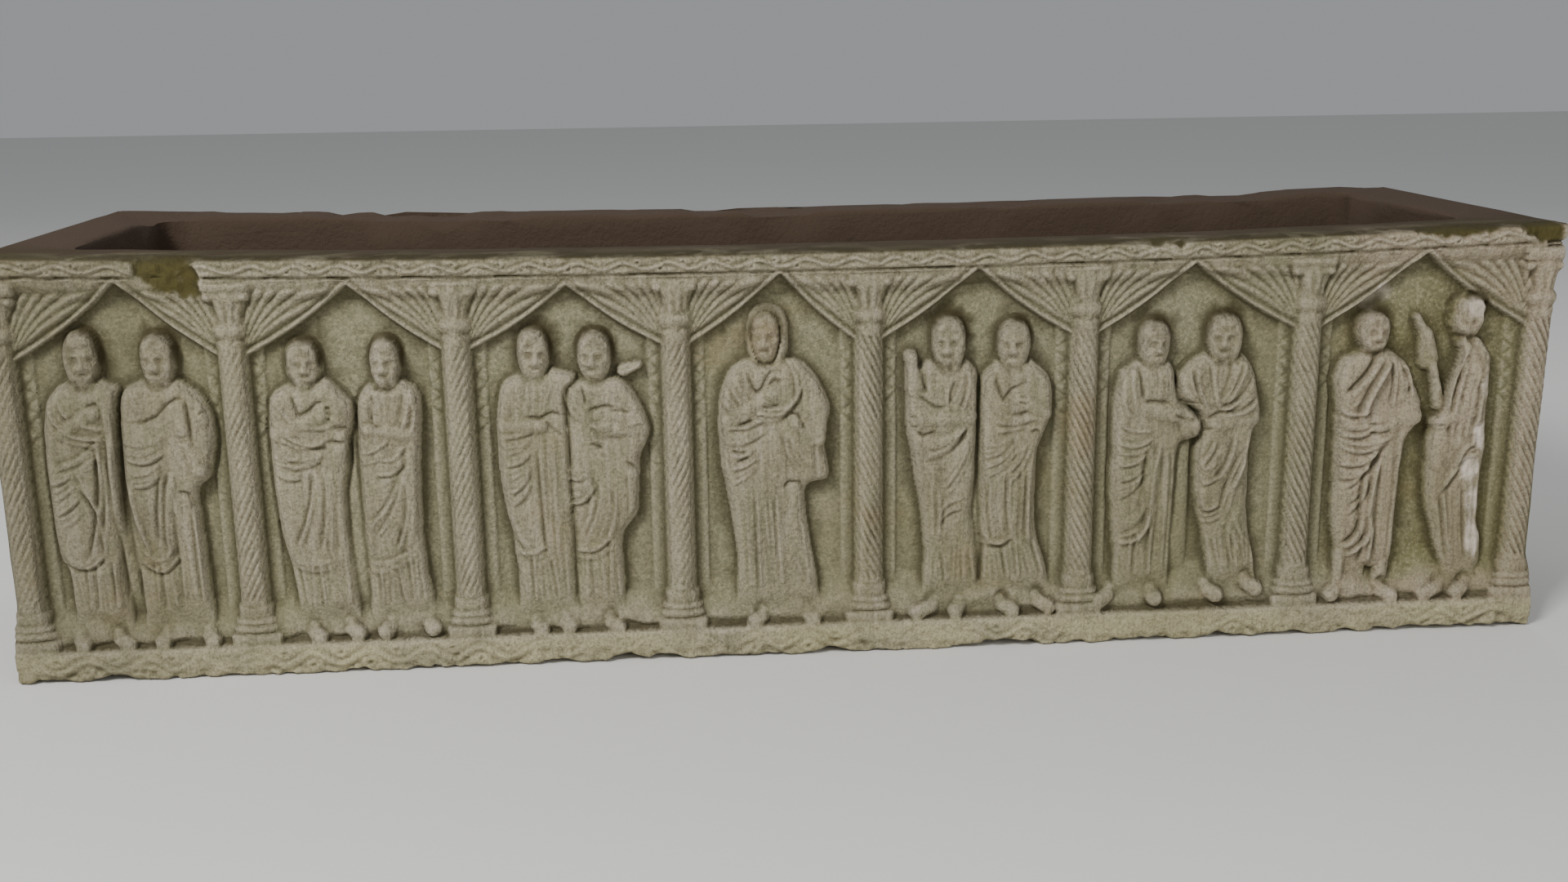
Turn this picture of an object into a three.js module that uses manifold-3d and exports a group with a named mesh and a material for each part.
import * as THREE from "three";
import { mergeVertices } from "three/addons/utils/BufferGeometryUtils.js";
import Module from "manifold-3d";

const wasm = await Module();
wasm.setup();

// A hollow stone chest, open on top, with a carved front. Sizes in mm, +Z up, front towards -Y.
const LENGTH = 2190;
const DEPTH = 650;
const HEIGHT = 600;
const SAG = 16.8;
const WALL = 85;
const END_WALL = 95;
const FLOOR = 110;
const CORNER = 35;
const RELIEF = 36;
const DRAWN = 45;
const BURY = 4;
const SINK = 8;
const FIELD_TRIANGLES = 7450;
const GAP_CAP = 9;
const HEAD_CARE = 3;

// Heights of the bands on the front
const LEDGE = 46;
const BACK_FOOT = 72;
const GROOVE = 25.5;
const GROOVE_DEEP = 3;
const PLATE = 31;

// The columns
const SHAFT_R = 21.5;
const SHAFT_OUT = 16;
const SHAFT_LOW = 105;
const SHAFT_HIGH = 476;
const FLUTE_PITCH = 37;
const FLUTE_DEEP = 4;
const FLUTE_RISE = 1.1;
const PLINTH_HALF = 35;
const STRIP_HALF = 41;
const STRIP_OUT = 7;
const NOTCHES = 3;
const NOTCH_STEP = 30;
const CAPITAL_TOP = 556;
const COLUMNS = [
  { x: -1069, lean: 0 },
  { x: -763, lean: 0 },
  { x: -463, lean: 0 },
  { x: -163, lean: 0 },
  { x: 106, lean: 0 },
  { x: 412, lean: 0 },
  { x: 734, lean: 0 },
  { x: 1066, lean: 6 },
];

// The gabled arches between them
const SPRING = 455;
const ARCH_EDGE = 9;
const ARCH_OUT = 8;
const APEXES = [
  { x: -903, z: 563 },
  { x: -601, z: 553 },
  { x: -309, z: 545 },
  { x: -18, z: 556 },
  { x: 256, z: 556 },
  { x: 561, z: 556 },
  { x: 892, z: 563 },
];
const FAN_RIBS = 5;
const FAN_OUT = 9;

// The scrolls on the two borders
const SCROLL_PERIOD = 65;
const SCROLL_SWING = 6;
const SCROLL_WIDE = 5;
const SCROLL_OUT = 3;

const HALF = LENGTH / 2;
const PANEL = DEPTH / 2 - RELIEF;
const BAND = RELIEF - SCROLL_OUT;

// How far the top edge has dipped at x
const dip = (x) => SAG * (1 - (x / HALF) ** 2);
const grooveAt = (x) => HEIGHT - GROOVE - dip(x);
const mix = (a, b, t) => a + (b - a) * t;
const steps = (n) => Array.from({ length: n + 1 }, (_, i) => i / n);

// A point of the front, given as x, its distance out from the panel, and z
const front = ([x, out, z]) => [x, -(PANEL + out), z];

// Places on the arches and figures were read off the photograph in the plane of the columns.
// They lie BEHIND that plane, so the eye of the photograph saw them shifted.
const EYE = { x: -172, z: 863, away: 2208 };
const BEHIND = 12;
const settleX = (x) => Math.round(x + ((x - EYE.x) * BEHIND) / EYE.away);
const settleZ = (z) => Math.round(z - ((EYE.z - z) * BEHIND) / EYE.away);
const settle = ([x, z, ...rest]) => [settleX(x), settleZ(z), ...rest];
const settleTwo = ([x0, z0, x1, z1, ...rest]) => [...settle([x0, z0]), ...settle([x1, z1]), ...rest];

// One closed solid from points and triangles, turned to face out
function solid(points, faces) {
  const geometry = new THREE.BufferGeometry();
  geometry.setAttribute(
    "position",
    new THREE.Float32BufferAttribute(points.flat(), 3),
  );
  geometry.setIndex(faces.flat());
  const merged = mergeVertices(geometry, 1e-3);
  const make = (tris) =>
    new wasm.Manifold(
      new wasm.Mesh({
        numProp: 3,
        vertProperties: merged.attributes.position.array,
        triVerts: new Uint32Array(tris),
      }),
    );
  const index = Array.from(merged.index.array);
  const tris = [];
  for (let i = 0; i < index.length; i += 3) {
    const [a, b, c] = index.slice(i, i + 3);
    if (a !== b && b !== c && c !== a) tris.push(a, b, c);
  }
  const made = make(tris);
  if (made.volume() >= 0) return made;
  const turned = [];
  for (let i = 0; i < tris.length; i += 3)
    turned.push(tris[i], tris[i + 2], tris[i + 1]);
  return make(turned);
}

// Rings of equally many points, joined in order and closed at both ends
function loft(rings, place = front) {
  const n = rings[0].length;
  const points = rings.flat().map(place);
  const faces = [];
  for (let k = 0; k + 1 < rings.length; k++)
    for (let j = 0; j < n; j++) {
      const a = k * n + j;
      const b = k * n + ((j + 1) % n);
      faces.push([a, b, b + n], [a, b + n, a + n]);
    }
  const last = (rings.length - 1) * n;
  for (let j = 1; j + 1 < n; j++) {
    faces.push([0, j + 1, j]);
    faces.push([last, last + j, last + j + 1]);
  }
  return solid(points, faces);
}

// The triangles of a flat outline, all turned the way the outline runs
function fill(flat) {
  const area = THREE.ShapeUtils.area(flat);
  return THREE.ShapeUtils.triangulateShape(flat, []).map(([a, b, c]) => {
    const own = THREE.ShapeUtils.area([flat[a], flat[b], flat[c]]);
    return own * area < 0 ? [a, c, b] : [a, b, c];
  });
}

// A flat outline of [x, z] pairs, made solid between two distances out
function slab(outline, low, high) {
  const flat = outline.map(([x, z]) => new THREE.Vector2(x, z));
  const n = outline.length;
  const points = [];
  for (const out of [low, high])
    for (const [x, z] of outline) points.push(front([x, out, z]));
  const faces = [];
  for (const [a, b, c] of fill(flat)) {
    faces.push([a, c, b]);
    faces.push([n + a, n + b, n + c]);
  }
  for (let j = 0; j < n; j++) {
    const k = (j + 1) % n;
    faces.push([j, k, n + k], [j, n + k, n + j]);
  }
  return solid(points, faces);
}

// An egg with its long axis upright
function egg({ x, out, z, rx, ro, rz, n = 8, bands = 4 }) {
  const points = [[x, out, z - rz]];
  for (let k = 1; k < bands; k++) {
    const a = (Math.PI * k) / bands;
    const s = Math.sin(a);
    const up = -Math.cos(a);
    for (let j = 0; j < n; j++) {
      const b = (2 * Math.PI * (j + 0.5)) / n;
      points.push([
        x + rx * s * Math.cos(b),
        out + ro * s * Math.sin(b),
        z + rz * up,
      ]);
    }
  }
  points.push([x, out, z + rz]);
  const top = points.length - 1;
  const faces = [];
  for (let j = 0; j < n; j++) {
    const i = (j + 1) % n;
    faces.push([0, 1 + i, 1 + j]);
    faces.push([top, top - n + j, top - n + i]);
    for (let k = 0; k + 2 < bands; k++) {
      const a = 1 + k * n;
      faces.push([a + j, a + i, a + n + i], [a + j, a + n + i, a + n + j]);
    }
  }
  return solid(points.map(front), faces);
}

// A ridge with a three-sided section along [x, z, out] points
function ridge(path, wide, high) {
  const rings = path.map(([x, z, out], i) => {
    const [ax, az] = path[Math.max(0, i - 1)];
    const [bx, bz] = path[Math.min(path.length - 1, i + 1)];
    const long = Math.hypot(bx - ax, bz - az);
    const nx = -(bz - az) / long;
    const nz = (bx - ax) / long;
    const end = i === 0 || i === path.length - 1 ? 0.35 : 1;
    const w = (wide * end) / 2;
    return [
      [x - nx * w, out - BURY, z - nz * w],
      [x, out + high * end, z],
      [x + nx * w, out - BURY, z + nz * w],
    ];
  });
  return loft(rings);
}

// The hollow box with the recessed panel and its two borders
function chest() {
  const stations = steps(8).map((t) => mix(-HALF, HALF, t));
  const rings = stations.map((x) => {
    const top = HEIGHT - dip(x);
    const groove = grooveAt(x);
    const section = [
      [-(PANEL + DEPTH / 2), 0],
      [BAND, 0],
      [BAND, LEDGE],
      [BAND - 9, LEDGE],
      [8, LEDGE + 8],
      [-SINK / 2, BACK_FOOT],
      [-SINK / 2, groove - 4],
      [BAND - GROOVE_DEEP, groove - 4],
      [BAND - GROOVE_DEEP, groove],
      [RELIEF, groove + 2],
      [BAND, groove + 5],
      [BAND, top - 7],
      [RELIEF, top - 4],
      [RELIEF - 1, top],
      [-(PANEL + DEPTH / 2), top],
    ];
    return section.map(([out, z]) => [x, out, z]);
  });
  const ends = [];
  const n = rings[0].length;
  const flat = rings[0].map(([, out, z]) => new THREE.Vector2(out, z));
  const points = rings.flat().map(front);
  for (let k = 0; k + 1 < rings.length; k++)
    for (let j = 0; j < n; j++) {
      const a = k * n + j;
      const b = k * n + ((j + 1) % n);
      ends.push([a, b, b + n], [a, b + n, a + n]);
    }
  const last = (rings.length - 1) * n;
  for (const [a, b, c] of fill(flat)) {
    ends.push([a, c, b]);
    ends.push([last + a, last + b, last + c]);
  }
  const body = solid(points, ends);

  const halfX = HALF - END_WALL;
  const near = -(PANEL - WALL);
  const far = DEPTH / 2 - WALL;
  const outline = [];
  const corners = [
    [halfX - CORNER, far - CORNER, 0],
    [-halfX + CORNER, far - CORNER, 1],
    [-halfX + CORNER, near + CORNER, 2],
    [halfX - CORNER, near + CORNER, 3],
  ];
  for (const [x, y, quarter] of corners)
    for (const t of steps(3)) {
      const a = ((quarter + t) * Math.PI) / 2;
      outline.push([x + CORNER * Math.cos(a), y + CORNER * Math.sin(a)]);
    }
  const levels = [FLOOR, HEIGHT + 10];
  const cavity = loft(
    levels.map((z) => outline.map(([x, y]) => [x, y, z])),
    (p) => p,
  );
  return body.subtract(cavity);
}

// The wavy stem of a border, with a small leaf in each bend
function scroll(mid, from, to, leaves) {
  const made = [];
  const count = Math.round(((to - from) / SCROLL_PERIOD) * 2);
  const path = steps(count).map((t, k) => {
    const x = mix(from, to, t);
    const swing = k % 2 ? SCROLL_SWING : -SCROLL_SWING;
    return [x, mid(x) + swing, BAND];
  });
  const rings = path.map(([x, z, out]) => [
    [x, out - BURY, z - SCROLL_WIDE],
    [x, out + SCROLL_OUT, z],
    [x, out - BURY, z + SCROLL_WIDE],
  ]);
  made.push(loft(rings));
  if (leaves)
    path.slice(1, -1).forEach(([x, z], k) => {
      const away = k % 2 ? 1 : -1;
      made.push(
        ridge(
          [
            [x - 9, z + away * -1, BAND - 1],
            [x + 9, z + away * 13, BAND - 1],
          ],
          11,
          2,
        ),
      );
    });
  return made;
}

// The carved field is worked out on a fine grid of heights out from the panel
const CELL = 2.5;
const FIELD_LOW = LEDGE - 6;
const FIELD_HIGH = HEIGHT - 18;
const NX = Math.round(LENGTH / CELL) + 1;
const NZ = Math.round((FIELD_HIGH - FIELD_LOW) / CELL) + 1;
const xAt = (i) => mix(-HALF, HALF, i / (NX - 1));
const zAt = (k) => mix(FIELD_LOW, FIELD_HIGH, k / (NZ - 1));
const field = new Float32Array(NX * NZ);
const care = new Float32Array(NX * NZ).fill(1);

// Runs a rule over the grid cells inside a box: it gets x, z and the height
function paint(x0, x1, z0, z1, rule, map = field) {
  const i0 = Math.max(0, Math.floor(((x0 + HALF) / LENGTH) * (NX - 1)));
  const i1 = Math.min(NX - 1, Math.ceil(((x1 + HALF) / LENGTH) * (NX - 1)));
  const k0 = Math.max(0, Math.floor((z0 - FIELD_LOW) / CELL));
  const k1 = Math.min(NZ - 1, Math.ceil((z1 - FIELD_LOW) / CELL));
  for (let k = k0; k <= k1; k++)
    for (let i = i0; i <= i1; i++) {
      const at = k * NX + i;
      map[at] = rule(xAt(i), zAt(k), map[at]);
    }
}

// Points that the net of triangles always takes in, so that patterns stay even
const seeds = [];
function seed(x, z) {
  const i = Math.round(((x + HALF) / LENGTH) * (NX - 1));
  const k = Math.round((z - FIELD_LOW) / CELL);
  if (i > 0 && k > 0 && i < NX - 1 && k < NZ - 1) seeds.push([i, k]);
}

const clamp = (v, a = 0, b = 1) => Math.min(b, Math.max(a, v));
const ease = (t) => clamp(t) ** 2 * (3 - 2 * clamp(t));

// A rounded lump with half sizes rx and rz that stands from base up to top
function dome(x, z, rx, rz, base, top, square = 2) {
  paint(x - rx, x + rx, z - rz, z + rz, (px, pz, h) => {
    const u = Math.abs(px - x) / rx;
    const v = Math.abs(pz - z) / rz;
    const d = (u ** square + v ** square) ** (1 / square);
    if (d >= 1) return h;
    return Math.max(h, mix(base, top, Math.sqrt(1 - d * d)));
  });
}

// Distance from a point to a path of [x, z] points, and how far along it lies
function along(path, x, z) {
  let best = [1e9, 0];
  const n = path.length - 1;
  for (let i = 0; i < n; i++) {
    const [ax, az] = path[i];
    const [bx, bz] = path[i + 1];
    const dx = bx - ax;
    const dz = bz - az;
    const t = clamp(((x - ax) * dx + (z - az) * dz) / (dx * dx + dz * dz));
    const d = Math.hypot(x - ax - dx * t, z - az - dz * t);
    if (d < best[0]) best = [d, (i + t) / n];
  }
  return best;
}

function boxOf(path, grow) {
  const xs = path.map((p) => p[0]);
  const zs = path.map((p) => p[1]);
  return [
    Math.min(...xs) - grow,
    Math.max(...xs) + grow,
    Math.min(...zs) - grow,
    Math.max(...zs) + grow,
  ];
}

// A round limb along a path; out and r are given for its two ends
function limb(path, out0, out1, r0, r1) {
  paint(...boxOf(path, Math.max(r0, r1)), (x, z, h) => {
    const [d, t] = along(path, x, z);
    const r = mix(r0, r1, t);
    if (d >= r) return h;
    return Math.max(h, mix(out0, out1, t) - r + Math.sqrt(r * r - d * d));
  });
}

// A fold or a groove along a path, added to what is there where that is raised
function crease(path, wide, high, from = 12) {
  paint(...boxOf(path, wide * 1.6), (x, z, h) => {
    if (h < from) return h;
    const [d, t] = along(path, x, z);
    const fade = ease(Math.min(t, 1 - t) * 6 + 0.25);
    return h + high * fade * Math.exp(-((d / (wide * 0.55)) ** 2));
  });
}

const curve = (a, b, sag, n = 8) =>
  steps(n).map((t) => [
    mix(a[0], b[0], t),
    mix(a[1], b[1], t) - sag * Math.sin(Math.PI * t),
  ]);

// A column: plinth, base rings, spiral shaft, neck ring, bell and top slab
function column({ x, lean }, i) {
  const turn = i < COLUMNS.length / 2 ? 1 : -1;
  const profile = [
    [LEDGE - 8, PLINTH_HALF],
    [59, PLINTH_HALF],
    [60, 30],
    [64, 34],
    [72, 34],
    [76, 28],
    [80, 28],
    [84, 31],
    [92, 31],
    [96, 25],
    [SHAFT_LOW, SHAFT_R],
    [SHAFT_HIGH, SHAFT_R],
    [482, 23],
    [488, 27],
    [496, 27],
    [501, 21],
    [506, 20],
    [525, 23],
    [543, 30],
    [546, 33],
    [CAPITAL_TOP, 33],
    [CAPITAL_TOP + 30, 33],
  ];
  paint(x - 40, x + 46, LEDGE - 8, CAPITAL_TOP + 30, (px, pz, h) => {
    const k = profile.findIndex(([z]) => z >= pz);
    if (k < 1) return h;
    const [za, ra] = profile[k - 1];
    const [zb, rb] = profile[k];
    let r = mix(ra, rb, (pz - za) / (zb - za));
    const cx = x + lean * clamp((pz - SHAFT_LOW) / (SHAFT_HIGH - SHAFT_LOW));
    const side = (px - cx) / r;
    if (Math.abs(side) >= 1) return h;
    const round = Math.sqrt(1 - side * side);
    const inShaft =
      ease((pz - SHAFT_LOW) / 8) * ease((SHAFT_HIGH - pz) / 8);
    const phase = (pz - turn * FLUTE_RISE * (px - cx)) / FLUTE_PITCH;
    const flute = FLUTE_DEEP * Math.sin(Math.PI * phase) ** 2 * inShaft;
    const bell = ease((pz - 503) / 10) * ease((548 - pz) / 4);
    const leaf = bell * 3 * Math.sin((side * 2.5 + 0.5) * Math.PI) ** 2;
    const flat = pz < 59.5 || pz > 545 ? 1 : 0;
    const full = SHAFT_OUT + r * 1.15 * (flat ? 1 : round) - 3 * flat;
    return Math.max(h, Math.min(DRAWN - 2, full - flute - leaf));
  });
  const count = Math.floor((2 * (SHAFT_HIGH - SHAFT_LOW)) / FLUTE_PITCH);
  const lowest = Math.ceil((2 * SHAFT_LOW) / FLUTE_PITCH);
  for (let m = lowest; m < lowest + count; m++)
    for (const side of [-0.93, 0, 0.93]) {
      const z = (m * FLUTE_PITCH) / 2 + turn * FLUTE_RISE * side * SHAFT_R;
      const cx = x + lean * clamp((z - SHAFT_LOW) / (SHAFT_HIGH - SHAFT_LOW));
      seed(cx + side * SHAFT_R, z);
    }
  for (const [z, r] of profile.slice(1, -2))
    for (const side of [-0.97, 0, 0.97]) seed(x + side * r, z);
}

// Flat strips behind a column, notched with triangles near the top
function strip({ x }) {
  paint(x - STRIP_HALF - 6, x + STRIP_HALF + 6, FIELD_LOW, SPRING, () => 0.5, care);
  paint(x - STRIP_HALF, x + STRIP_HALF, FIELD_LOW, SPRING + 30, (px, pz, h) => {
    const off = Math.abs(px - x);
    if (off > STRIP_HALF) return h;
    const step = (SPRING - 6 - pz) / NOTCH_STEP;
    const k = Math.floor(step);
    const t = step - k;
    const across = (off - SHAFT_R) / (STRIP_HALF - SHAFT_R);
    const inside = k >= 0 && k < NOTCHES && across > 0;
    const notch = inside && across > Math.abs(2 * t - 1) ? 4.5 : 0;
    return Math.max(h, STRIP_OUT - notch);
  });
}

// The raised plate above the arches, cut to gables, with fans and thin edges
function arcade(read, i) {
  const l = COLUMNS[i].x + 22;
  const r = COLUMNS[i + 1].x - 22;
  const apex = { x: settleX(read.x), z: settleZ(read.z) };
  paint(l - 24, r + 24, SPRING - 8, FIELD_HIGH, (x, z, h) => {
    const left = x < apex.x;
    const foot = left ? l : r;
    const t = clamp((x - foot) / (apex.x - foot), -1, 1);
    const line = mix(SPRING, apex.z, t);
    const slope = (apex.z - SPRING) / Math.abs(apex.x - foot);
    const over = (z - line) / Math.hypot(1, slope);
    if (over < 0) return h;
    if (over < ARCH_EDGE) {
      const bead = Math.sin((Math.PI * over) / ARCH_EDGE) ** 0.5;
      return Math.max(h, PLATE - 4 + (ARCH_OUT + 4) * bead);
    }
    // Ribs that start beside the capital and open like a palm leaf
    const px = Math.abs(x - foot) + 10;
    const pz = z - (SPRING - 8);
    const far = Math.hypot(px, pz);
    const steep = Math.atan2(pz, px);
    const low = Math.atan(slope) + 0.1;
    const open = (steep - low) / (Math.PI / 2 - low);
    const wave = Math.abs(Math.sin(Math.PI * FAN_RIBS * clamp(open)));
    const grown = ease((far - 16) / 40);
    const high = PLATE - 3 + FAN_OUT * wave ** 0.7 * grown;
    return Math.max(h, Math.min(DRAWN - 3, high));
  });
  for (const foot of [l, r]) {
    const way = Math.sign(apex.x - foot);
    const slope = (apex.z - SPRING) / Math.abs(apex.x - foot);
    const long = Math.hypot(1, slope);
    for (const off of [-2.8, ARCH_EDGE / 2, ARCH_EDGE + 2])
      for (const t of steps(11)) {
        const x = mix(foot, apex.x - way, t) - (way * off * slope) / long;
        if ((apex.x - x) * way < 2) continue;
        const z = mix(SPRING, apex.z, t) + off / long;
        if (z < grooveAt(x) - 2) seed(x, z);
      }
    const low = Math.atan(slope) + 0.1;
    for (let m = 1; m < 2 * FAN_RIBS; m++)
      for (const far of [48, 78, 108, 145]) {
        const steep = mix(low, Math.PI / 2, m / (2 * FAN_RIBS));
        const x = foot + way * (far * Math.cos(steep) - 10);
        const z = SPRING - 8 + far * Math.sin(steep);
        if ((apex.x - x) * way > 6 && z < grooveAt(x) - 5) seed(x, z);
      }
  }
}

const LEVELS = [405, 345, 265, 170, 100];

// Reads an edge, given at the heights of LEVELS, at any height
function edge(values, z) {
  if (z >= LEVELS[0]) return values[0];
  for (let i = 0; i + 1 < LEVELS.length; i++)
    if (z >= LEVELS[i + 1]) {
      const t = (LEVELS[i] - z) / (LEVELS[i] - LEVELS[i + 1]);
      return mix(values[i], values[i + 1], ease(t) * 0.6 + t * 0.4);
    }
  return values[values.length - 1];
}

// A figure with all its places moved to their true depth
const placed = (f) => ({
  ...f,
  head: settle(f.head),
  left: f.left.map(settleX),
  right: f.right.map(settleX),
  shoulder: settleZ(f.shoulder),
  arms: f.arms.map((arm) => ({ ...arm, elbow: settle(arm.elbow), hand: settle(arm.hand) })),
  sling: settleTwo(f.sling),
  drape: settle(f.drape),
  feet: f.feet.map(settle),
});

// One standing robed figure
function figure(f) {
  const [hx, hz] = f.head;
  const [hw, hh] = f.headSize;
  const { turn, deep } = f;
  const neck = hz - hh / 2;
  const sides = [Math.min(...f.left) - 12, Math.max(...f.right) + 12];

  // The body: depth falls away near its outline, with a sunk line round it
  paint(...sides, f.foot, neck + 30, (x, z, h) => {
    const l = edge(f.left, z);
    const r = edge(f.right, z);
    const reach = x < hx ? hx - l : r - hx;
    const t = clamp(Math.abs(x - hx) / reach);
    const topZ = mix(neck + 10, f.shoulder - 16, t ** 1.8);
    const inside = Math.min(x - l, r - x, topZ - z, (z - f.foot - 6) * 1.5);
    if (inside < -8) return h;
    if (inside < 0) return Math.min(h, Math.max(0, h - 7 * (1 + inside / 8)));
    const u = (x - l) / (r - l);
    const soft = Math.sqrt(1 - (1 - clamp(inside / 26)) ** 2);
    const slope = 8 * ease((z - f.shoulder + 25) / 50);
    let out = mix(deep * 0.5, deep, soft) - slope;
    const hem =
      f.hem + 18 - f.hemDrop * Math.sin(Math.PI * u) + f.hemTilt * 14 * (u - 0.5);
    if (z < hem) {
      const under = ease((hem - z) / 5);
      const pleats = Math.cos((2 * Math.PI * (x - l)) / f.pleat) * 2.5;
      out += under * (pleats - 7) - 2 * ease((hem - z) / 60);
    }
    return Math.max(h - 30, out);
  });

  // Curved folds that spread from the hip, and the roll of cloth above them
  const [kx, kz, way, count] = f.drape;
  const wide = edge(f.right, kz) - edge(f.left, kz);
  for (let j = 0; j < count; j++) {
    const path = steps(6).map((t) => [
      kx + way * wide * t * (0.8 - 0.12 * j),
      kz - 18 * j - (40 + 24 * j) * t * t - 10 * Math.sin(Math.PI * t),
    ]);
    crease(path, 9, 4);
    crease(
      path.map(([x, z]) => [x, z - 9]),
      8,
      -3,
    );
  }
  const [sx, sz, ex, ez, sag] = f.sling;
  crease(curve([sx, sz], [ex, ez], sag), 10, 5);
  crease(curve([sx, sz - 9], [ex, ez - 9], sag), 7, -3.5);

  // Forearms and hands
  for (const { elbow, hand, size = 10 } of f.arms) {
    const far = deep + 3;
    limb([elbow, hand], far, far + 4, size, size * 0.85);
    dome(hand[0], hand[1], 12, 11, 20, Math.min(DRAWN - 1, deep + 8));
  }

  // Feet
  for (const [fx, fz, way2] of f.feet)
    limb(
      [
        [fx - way2 * 7, fz + 10],
        [fx + way2 * 9, fz],
      ],
      deep - 6,
      deep - 1,
      11,
      10,
    );

  // Head: a sunk line round it, hair, face, brow, nose and beard
  const frontOut = Math.min(DRAWN - 3, deep + 6);
  paint(hx - hw, hx + hw, hz - hh / 2 - 8, hz + hh / 2 + 10, (x, z, h) => {
    const d = Math.hypot((x - hx) / (hw / 2 + 7), (z - hz) / (hh / 2 + 6));
    return d < 1 ? Math.min(h, mix(h, 6, ease((1 - d) * 4))) : h;
  });
  if (f.locks)
    for (const side of [-1, 1])
      limb(
        [
          [hx + side * hw * 0.42, hz + hh * 0.25],
          [hx + side * hw * 0.72, hz - hh * 0.1],
          [hx + side * hw * 0.78, hz - hh * 0.45],
        ],
        deep - 2,
        deep - 6,
        11,
        7,
      );
  if (f.hair)
    dome(hx - turn * 3, hz + hh * 0.1, hw / 2 + f.hair, hh * 0.42, 8, frontOut - 6, 2.3);
  dome(hx, hz, hw / 2, hh / 2, 12, frontOut, 2.2);
  if (f.beard)
    dome(hx + turn * 3, hz - hh * 0.27, hw * 0.38, hh * 0.26, 16, frontOut + 1);
  const faceX = hx + turn * 5;
  crease(curve([faceX - 13, hz + 9], [faceX + 13, hz + 9], 0), 8, -3);
  crease([
    [faceX, hz + 12],
    [faceX + turn * 2, hz - 8],
  ], 7, 4);
  crease(curve([faceX - 7, hz - 16], [faceX + 7, hz - 16], 0), 5, -2.5);
  paint(hx - hw / 2, hx + hw / 2, hz - hh / 2, hz + hh / 2, () => HEAD_CARE, care);
}

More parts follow.
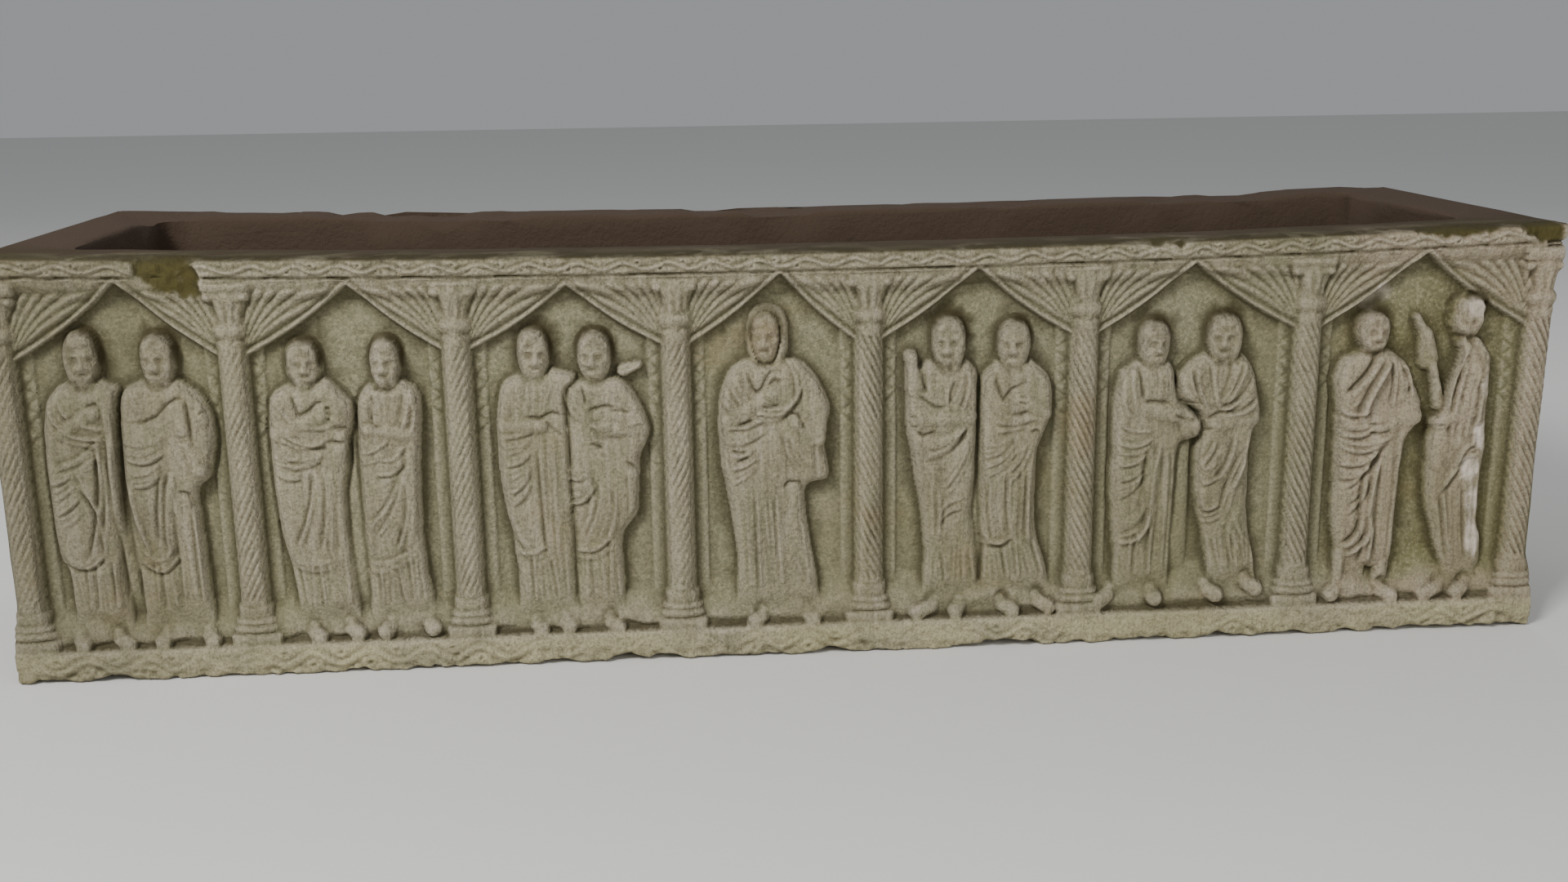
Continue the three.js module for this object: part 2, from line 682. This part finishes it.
// The thirteen figures: edges run down at the heights of LEVELS
const FIGURES = [
  {
    head: [-960, 459],
    headSize: [46, 82],
    turn: 1,
    beard: true,
    hair: 2,
    left: [-1012, -1021, -1019, -1016, -1009],
    right: [-914, -923, -927, -927, -924],
    pleat: 15,
    deep: 35,
    shoulder: 415,
    hem: 160,
    hemDrop: 18,
    hemTilt: 0.6,
    foot: 57,
    arms: [{ elbow: [-1000, 352], hand: [-945, 378] }],
    sling: [-995, 413, -931, 369, 26],
    drape: [-1010, 318, 1, 3],
    feet: [
      [-1000, 58, 1],
      [-952, 57, 1],
    ],
  },
  {
    head: [-859, 457],
    headSize: [48, 76],
    turn: -1,
    beard: true,
    hair: 4,
    left: [-912, -918, -919, -917, -915],
    right: [-797, -797, -812, -818, -822],
    pleat: 15,
    deep: 37,
    shoulder: 415,
    hem: 162,
    hemDrop: 20,
    hemTilt: 0,
    foot: 60,
    arms: [{ elbow: [-814, 352], hand: [-822, 298], size: 11 }],
    sling: [-906, 392, -830, 372, 14],
    drape: [-908, 300, 1, 3],
    feet: [
      [-885, 58, -1],
      [-832, 60, 1],
    ],
  },
  {
    head: [-667, 445],
    headSize: [44, 68],
    turn: 1,
    beard: true,
    hair: 3,
    left: [-713, -720, -721, -712, -704],
    right: [-612, -620, -625, -620, -618],
    pleat: 15,
    deep: 35,
    shoulder: 408,
    hem: 155,
    hemDrop: 10,
    hemTilt: 1.2,
    foot: 58,
    arms: [
      { elbow: [-705, 360], hand: [-649, 376] },
      { elbow: [-640, 318], hand: [-622, 336] },
    ],
    sling: [-712, 372, -640, 398, 12],
    drape: [-700, 322, 1, 3],
    feet: [
      [-685, 58, 1],
      [-635, 60, 1],
    ],
  },
  {
    head: [-559, 443],
    headSize: [44, 70],
    turn: -1,
    beard: true,
    hair: 2,
    left: [-603, -605, -607, -606, -606],
    right: [-514, -515, -520, -516, -513],
    pleat: 15,
    deep: 37,
    shoulder: 406,
    hem: 158,
    hemDrop: 12,
    hemTilt: -0.6,
    foot: 59,
    arms: [{ elbow: [-530, 345], hand: [-577, 361] }],
    sling: [-602, 330, -520, 368, 18],
    drape: [-525, 310, -1, 3],
    feet: [
      [-582, 60, -1],
      [-541, 59, 1],
    ],
  },
  {
    head: [-357, 450],
    headSize: [46, 78],
    turn: 1,
    beard: false,
    hair: 2,
    left: [-408, -413, -410, -396, -393],
    right: [-318, -308, -308, -312, -315],
    pleat: 15,
    deep: 35,
    shoulder: 414,
    hem: 160,
    hemDrop: 12,
    hemTilt: 0.8,
    foot: 58,
    arms: [{ elbow: [-400, 352], hand: [-345, 360] }],
    sling: [-405, 345, -320, 365, 6],
    drape: [-404, 318, 1, 3],
    feet: [
      [-372, 56, 1],
      [-332, 58, 1],
    ],
  },
  {
    head: [-274, 445],
    headSize: [50, 76],
    turn: -1,
    beard: false,
    hair: 2,
    left: [-316, -318, -316, -312, -310],
    right: [-207, -203, -210, -246, -245],
    pleat: 15,
    deep: 37,
    shoulder: 409,
    hem: 155,
    hemDrop: 10,
    hemTilt: -0.8,
    foot: 60,
    arms: [
      { elbow: [-222, 368], hand: [-268, 372] },
      { elbow: [-226, 402], hand: [-214, 428], size: 8 },
    ],
    sling: [-289, 322, -222, 278, -8],
    drape: [-252, 306, -1, 3],
    feet: [
      [-300, 62, -1],
      [-270, 60, 1],
    ],
  },
  {
    head: [-36, 467],
    headSize: [44, 84],
    turn: -1,
    beard: false,
    hair: 8,
    locks: true,
    left: [-98, -106, -97, -84, -84],
    right: [46, 52, 20, 24, 33],
    pleat: 15,
    deep: 38,
    shoulder: 420,
    hem: 150,
    hemDrop: 14,
    hemTilt: 0.5,
    foot: 56,
    arms: [
      { elbow: [-84, 352], hand: [-34, 394], size: 12 },
      { elbow: [36, 348], hand: [0, 346], size: 12 },
    ],
    sling: [-92, 345, 30, 372, 34],
    drape: [-80, 318, 1, 3],
    feet: [
      [-50, 54, -1],
      [16, 54, 1],
    ],
  },
  {
    head: [217, 451],
    headSize: [48, 80],
    turn: -1,
    beard: true,
    hair: 3,
    left: [166, 160, 166, 178, 180],
    right: [262, 262, 259, 260, 262],
    pleat: 15,
    deep: 36,
    shoulder: 412,
    hem: 160,
    hemDrop: 12,
    hemTilt: -0.8,
    foot: 58,
    arms: [
      { elbow: [170, 392], hand: [165, 440], size: 9 },
      { elbow: [240, 345], hand: [190, 352] },
    ],
    sling: [172, 330, 256, 378, 16],
    drape: [250, 320, -1, 3],
    feet: [
      [195, 60, -1],
      [238, 60, 1],
    ],
  },
  {
    head: [310, 445],
    headSize: [49, 76],
    turn: -1,
    beard: false,
    hair: 3,
    left: [262, 262, 262, 264, 266],
    right: [362, 363, 347, 352, 368],
    pleat: 15,
    deep: 35,
    shoulder: 408,
    hem: 158,
    hemDrop: 12,
    hemTilt: -1,
    foot: 58,
    arms: [{ elbow: [352, 352], hand: [312, 369] }],
    sling: [272, 330, 356, 370, 18],
    drape: [346, 312, -1, 3],
    feet: [
      [302, 58, -1],
      [352, 60, 1],
    ],
  },
  {
    head: [510, 440],
    headSize: [50, 72],
    turn: 1,
    beard: false,
    hair: 3,
    left: [458, 455, 456, 460, 463],
    right: [548, 548, 547, 540, 540],
    pleat: 15,
    deep: 36,
    shoulder: 408,
    hem: 158,
    hemDrop: 8,
    hemTilt: 1.5,
    foot: 62,
    arms: [{ elbow: [500, 358], hand: [572, 336], size: 13 }],
    sling: [460, 350, 542, 380, 14],
    drape: [540, 300, -1, 3],
    feet: [
      [462, 66, -1],
      [520, 68, 1],
    ],
  },
  {
    head: [608, 449],
    headSize: [52, 74],
    turn: -1,
    beard: true,
    hair: 3,
    left: [564, 563, 572, 580, 580],
    right: [660, 667, 656, 660, 673],
    pleat: 15,
    deep: 35,
    shoulder: 412,
    hem: 158,
    hemDrop: 12,
    hemTilt: -1,
    foot: 66,
    arms: [{ elbow: [646, 348], hand: [600, 360] }],
    sling: [570, 340, 660, 386, 22],
    drape: [650, 315, -1, 3],
    feet: [
      [604, 74, -1],
      [654, 74, 1],
    ],
  },
  {
    head: [825, 449],
    headSize: [54, 64],
    turn: 1,
    beard: true,
    hair: 3,
    left: [774, 770, 773, 778, 780],
    right: [890, 896, 890, 884, 882],
    pleat: 15,
    deep: 36,
    shoulder: 412,
    hem: 140,
    hemDrop: 16,
    hemTilt: 0.4,
    foot: 60,
    arms: [
      { elbow: [790, 352], hand: [836, 356] },
      { elbow: [884, 398], hand: [892, 440], size: 9 },
    ],
    sling: [780, 325, 848, 429, 0],
    drape: [884, 310, -1, 3],
    feet: [
      [792, 62, -1],
      [858, 56, 1],
    ],
  },
  {
    head: [962, 457],
    headSize: [46, 54],
    turn: -1,
    beard: false,
    hair: 0,
    left: [924, 922, 917, 926, 926],
    right: [1002, 1001, 1003, 1006, 1008],
    pleat: 15,
    deep: 33,
    shoulder: 420,
    hem: 158,
    hemDrop: 10,
    hemTilt: -0.5,
    foot: 57,
    arms: [{ elbow: [980, 330], hand: [930, 318] }],
    sling: [926, 350, 998, 392, 16],
    drape: [994, 305, -1, 3],
    feet: [
      [930, 58, -1],
      [990, 58, 1],
    ],
  },
];

// Rough lumps that have broken out of the stone: place, then half sizes
const BREAKS = [
  { at: [-812, RELIEF + 6, 578], half: [30, 16, 34], n: 7 },
  { at: [-858, RELIEF + 4, 592], half: [34, 12, 20], n: 6 },
  { at: [515, RELIEF + 8, 596], half: [52, 16, 20], n: 7 },
  { at: [936, RELIEF + 9, 600], half: [64, 14, 18], n: 6 },
  { at: [1066, RELIEF + 6, 596], half: [38, 16, 24], n: 6 },
  { at: [-1090, RELIEF + 2, 596], half: [26, 22, 26], n: 6 },
  { at: [831, RELIEF - 2, 502], half: [20, 12, 18], n: 6 },
  { at: [-700, RELIEF + 6, -2], half: [60, 12, 12], n: 6 },
  { at: [-380, RELIEF + 6, -1], half: [44, 14, 13], n: 6 },
  { at: [-155, RELIEF + 6, -2], half: [38, 12, 14], n: 6 },
  { at: [330, RELIEF + 5, -2], half: [70, 12, 12], n: 6 },
  { at: [820, RELIEF + 6, -1], half: [56, 13, 13], n: 6 },
];

// Adds up a list of solids two by two
function together(list) {
  let rest = list;
  while (rest.length > 1) {
    const next = [];
    for (let i = 0; i < rest.length; i += 2)
      next.push(i + 1 < rest.length ? rest[i].add(rest[i + 1]) : rest[i]);
    rest = next;
  }
  return rest[0];
}

// Makes a net of triangles over the field: it starts coarse, and the point
// that the net misses by most is added until enough triangles are used
function net(most) {
  const px = [];
  const pz = [];
  const tri = [];
  const twin = [];
  const miss = [];
  const where = [];
  const fresh = new Set();
  const orient = (ax, az, bx, bz, cx, cz) =>
    (bx - cx) * (az - cz) - (bz - cz) * (ax - cx);
  const heightOf = (i, k) => field[k * NX + i];

  const addPoint = (i, k) => {
    px.push(i);
    pz.push(k);
    return px.length - 1;
  };
  const setTri = (a, b, c, ab, bc, ca, e = tri.length) => {
    [tri[e], tri[e + 1], tri[e + 2]] = [a, b, c];
    [twin[e], twin[e + 1], twin[e + 2]] = [ab, bc, ca];
    if (ab >= 0) twin[ab] = e;
    if (bc >= 0) twin[bc] = e + 1;
    if (ca >= 0) twin[ca] = e + 2;
    fresh.add(e / 3);
    return e;
  };
  // Turns the edge between two triangles where that makes rounder ones
  const settle = (a) => {
    const b = twin[a];
    if (b < 0) return;
    const a0 = a - (a % 3);
    const b0 = b - (b % 3);
    const al = a0 + ((a + 1) % 3);
    const ar = a0 + ((a + 2) % 3);
    const bl = b0 + ((b + 2) % 3);
    const br = b0 + ((b + 1) % 3);
    const [p0, pr, pl, p1] = [tri[ar], tri[a], tri[al], tri[bl]];
    const dx = px[p0] - px[p1];
    const dy = pz[p0] - pz[p1];
    const ex = px[pr] - px[p1];
    const ey = pz[pr] - pz[p1];
    const fx = px[pl] - px[p1];
    const fy = pz[pl] - pz[p1];
    const ap = dx * dx + dy * dy;
    const bp = ex * ex + ey * ey;
    const cp = fx * fx + fy * fy;
    const inCircle =
      dx * (ey * cp - bp * fy) - dy * (ex * cp - bp * fx) + ap * (ex * fy - ey * fx);
    if (inCircle >= 0) return;
    const [hal, har, hbl, hbr] = [twin[al], twin[ar], twin[bl], twin[br]];
    const t0 = setTri(p0, p1, pl, -1, hbl, hal, a0);
    const t1 = setTri(p1, p0, pr, t0, har, hbr, b0);
    settle(t0 + 1);
    settle(t1 + 2);
  };
  const splitEdge = (pn, a) => {
    const a0 = a - (a % 3);
    const al = a0 + ((a + 1) % 3);
    const ar = a0 + ((a + 2) % 3);
    const [p0, pr, pl] = [tri[ar], tri[a], tri[al]];
    const [hal, har] = [twin[al], twin[ar]];
    const b = twin[a];
    if (b < 0) {
      const t0 = setTri(pn, p0, pr, -1, har, -1, a0);
      const t1 = setTri(p0, pn, pl, t0, -1, hal);
      settle(t0 + 1);
      settle(t1 + 2);
      return;
    }
    const b0 = b - (b % 3);
    const bl = b0 + ((b + 2) % 3);
    const br = b0 + ((b + 1) % 3);
    const p1 = tri[bl];
    const [hbl, hbr] = [twin[bl], twin[br]];
    const t0 = setTri(p0, pr, pn, har, -1, -1, a0);
    const t1 = setTri(pr, p1, pn, hbr, -1, t0 + 1, b0);
    const t2 = setTri(p1, pl, pn, hbl, -1, t1 + 1);
    const t3 = setTri(pl, p0, pn, hal, t0 + 2, t2 + 1);
    for (const t of [t0, t1, t2, t3]) settle(t);
  };
  const insert = (t, i, k) => {
    const e = t * 3;
    const [a, b, c] = [tri[e], tri[e + 1], tri[e + 2]];
    const on = (p, q) => orient(px[p], pz[p], px[q], pz[q], i, k) === 0;
    const pn = addPoint(i, k);
    if (on(a, b)) splitEdge(pn, e);
    else if (on(b, c)) splitEdge(pn, e + 1);
    else if (on(c, a)) splitEdge(pn, e + 2);
    else {
      const [h0, h1, h2] = [twin[e], twin[e + 1], twin[e + 2]];
      const t0 = setTri(a, b, pn, h0, -1, -1, e);
      const t1 = setTri(b, c, pn, h1, -1, t0 + 1);
      const t2 = setTri(c, a, pn, h2, t0 + 2, t1 + 1);
      settle(t0);
      settle(t1);
      settle(t2);
    }
  };
  // The grid point inside a triangle that the flat triangle misses by most
  const measure = (t) => {
    const [a, b, c] = [tri[3 * t], tri[3 * t + 1], tri[3 * t + 2]];
    const i0 = Math.min(px[a], px[b], px[c]);
    const i1 = Math.max(px[a], px[b], px[c]);
    const k0 = Math.min(pz[a], pz[b], pz[c]);
    const k1 = Math.max(pz[a], pz[b], pz[c]);
    const whole = orient(px[a], pz[a], px[b], pz[b], px[c], pz[c]);
    const [ha, hb, hc] = [a, b, c].map((p) => heightOf(px[p], pz[p]) / whole);
    let worst = 0;
    let sum = 0;
    let spot = null;
    for (let k = k0; k <= k1; k++)
      for (let i = i0; i <= i1; i++) {
        const wa = orient(px[b], pz[b], px[c], pz[c], i, k);
        const wb = orient(px[c], pz[c], px[a], pz[a], i, k);
        const wc = orient(px[a], pz[a], px[b], pz[b], i, k);
        if (wa < 0 || wb < 0 || wc < 0) continue;
        const flat = wa * ha + wb * hb + wc * hc;
        const gap = Math.abs(flat - heightOf(i, k));
        sum += Math.min(gap, GAP_CAP) * care[k * NX + i];
        if (gap > worst) {
          worst = gap;
          spot = [i, k];
        }
      }
    miss[t] = spot ? sum : 0;
    where[t] = spot;
  };
  const refresh = () => {
    for (const t of fresh) measure(t);
    fresh.clear();
  };

  const p0 = addPoint(0, 0);
  const p1 = addPoint(NX - 1, 0);
  const p2 = addPoint(0, NZ - 1);
  const p3 = addPoint(NX - 1, NZ - 1);
  const first = setTri(p3, p0, p2, -1, -1, -1);
  setTri(p0, p3, p1, first, -1, -1);
  refresh();
  for (const [i, k] of seeds) {
    if (px.some((p, j) => Math.abs(p - i) + Math.abs(pz[j] - k) < 2)) continue;
    for (let t = 0; t < tri.length / 3; t++) {
      const [a, b, c] = [tri[3 * t], tri[3 * t + 1], tri[3 * t + 2]];
      if (orient(px[b], pz[b], px[c], pz[c], i, k) < 0) continue;
      if (orient(px[c], pz[c], px[a], pz[a], i, k) < 0) continue;
      if (orient(px[a], pz[a], px[b], pz[b], i, k) < 0) continue;
      insert(t, i, k);
      break;
    }
    fresh.clear();
  }
  for (let t = 0; t < tri.length / 3; t++) measure(t);
  while (tri.length / 3 < most) {
    let t = 0;
    for (let j = 1; j < miss.length; j++) if (miss[j] > miss[t]) t = j;
    if (miss[t] < 0.2) break;
    const [i, k] = where[t];
    insert(t, i, k);
    refresh();
  }
  return { px, pz, tri, twin };
}

// The net as a solid slab whose back is sunk into the chest
function relief(most) {
  const { px, pz, tri, twin } = net(most);
  const n = px.length;
  const points = px.map((i, j) => [xAt(i), field[pz[j] * NX + i], zAt(pz[j])]);
  const back = px.map((i, j) => [xAt(i), -SINK, zAt(pz[j])]);
  const faces = [];
  for (let e = 0; e < tri.length; e += 3)
    faces.push([tri[e], tri[e + 1], tri[e + 2]]);
  const mid = 2 * n;
  for (let e = 0; e < tri.length; e++)
    if (twin[e] < 0) {
      const a = tri[e];
      const b = tri[e - (e % 3) + ((e + 1) % 3)];
      faces.push([b, a, a + n], [b, a + n, b + n], [b + n, a + n, mid]);
    }
  const all = [...points, ...back, [0, -SINK, (FIELD_LOW + FIELD_HIGH) / 2]];
  const used = new Map();
  const kept = [];
  const renamed = faces.map((f) =>
    f.map((v) => {
      if (!used.has(v)) {
        used.set(v, kept.length);
        kept.push(front(all[v]));
      }
      return used.get(v);
    }),
  );
  return solid(kept, renamed);
}

COLUMNS.forEach((c) => strip(c));
FIGURES.map(placed).forEach((f) => figure(f));
APEXES.forEach((apex, i) => arcade(apex, i));
COLUMNS.forEach((c, i) => column(c, i));

// Keeps the field inside the borders, and softens it by half a cell
paint(-HALF, HALF, FIELD_LOW, FIELD_HIGH, (x, z, h) => {
  const hidden = z < LEDGE + 1 || z > grooveAt(x) - 3;
  return clamp((h * RELIEF) / DRAWN, 0, hidden ? BAND - 4 : RELIEF - 1);
});
const copy = Float32Array.from(field);
for (let k = 1; k + 1 < NZ; k++)
  for (let i = 1; i + 1 < NX; i++) {
    const at = k * NX + i;
    const round =
      copy[at - 1] + copy[at + 1] + copy[at - NX] + copy[at + NX];
    field[at] = copy[at] * 0.5 + round * 0.125;
  }

const carving = [relief(FIELD_TRIANGLES)];
carving.push(...scroll((x) => grooveAt(x) + 14, -HALF + 12, HALF - 12, true));
carving.push(...scroll(() => LEDGE / 2 + 4, -HALF + 12, HALF - 12, false));

let stone = chest().add(together(carving));

// Trims what would stand past the box of the chest
const keep = loft(
  [0, HEIGHT + 5].map((z) => [
    [-HALF, -DEPTH / 2, z],
    [HALF, -DEPTH / 2, z],
    [HALF, DEPTH / 2, z],
    [-HALF, DEPTH / 2, z],
  ]),
  (p) => p,
);
stone = stone.intersect(keep);
stone = stone.subtract(
  together(
    BREAKS.map(({ at, half, n }) =>
      egg({
        x: at[0],
        out: at[1],
        z: at[2],
        rx: half[0],
        ro: half[1],
        rz: half[2],
        n,
        bands: 3,
      }),
    ),
  ),
);

const mesh = stone.getMesh();
const geometry = new THREE.BufferGeometry();
geometry.setAttribute(
  "position",
  new THREE.BufferAttribute(new Float32Array(mesh.vertProperties), 3),
);
geometry.setIndex(new THREE.BufferAttribute(new Uint32Array(mesh.triVerts), 1));
geometry.computeVertexNormals();
const material = new THREE.MeshStandardMaterial({
  color: 0xb5ae98,
  roughness: 0.9,
});
const chestMesh = new THREE.Mesh(geometry, material);
chestMesh.name = "chest";

const group = new THREE.Group();
group.add(chestMesh);
export default group;
